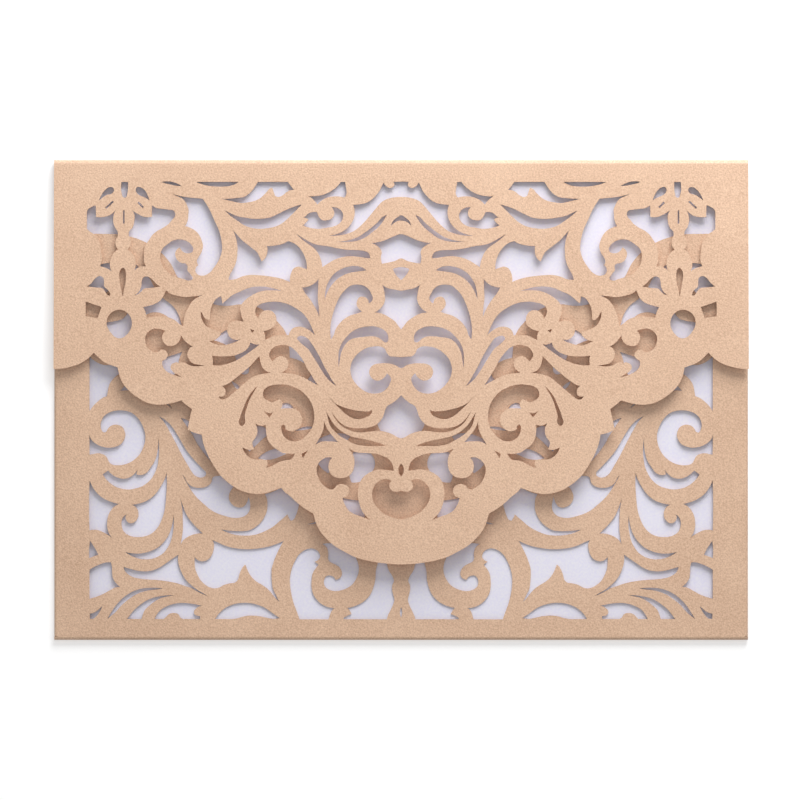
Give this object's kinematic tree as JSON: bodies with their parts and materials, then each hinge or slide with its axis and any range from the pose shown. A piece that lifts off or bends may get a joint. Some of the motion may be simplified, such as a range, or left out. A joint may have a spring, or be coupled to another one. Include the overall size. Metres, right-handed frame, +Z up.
{
  "type": "wedding invitation card",
  "caption": "Laser-cut invitation: a folded pearl card sheet with a filigree pocket and filigree flap, holding a plain insert card.",
  "frame": {"origin": "middle of the back, on the surface that the invitation lies on", "axes": "+X to the right along the long side, +Y towards the flap's fold, +Z up out of the front"},
  "size_m": [0.185, 0.128, 0.0059],
  "materials": {
    "pearl_card": "satin",
    "insert_card": "satin"
  },
  "bodies": {
    "root": {"cover_sheet": "pearl_card", "insert_card": "insert_card"}
  },
  "joints": []
}
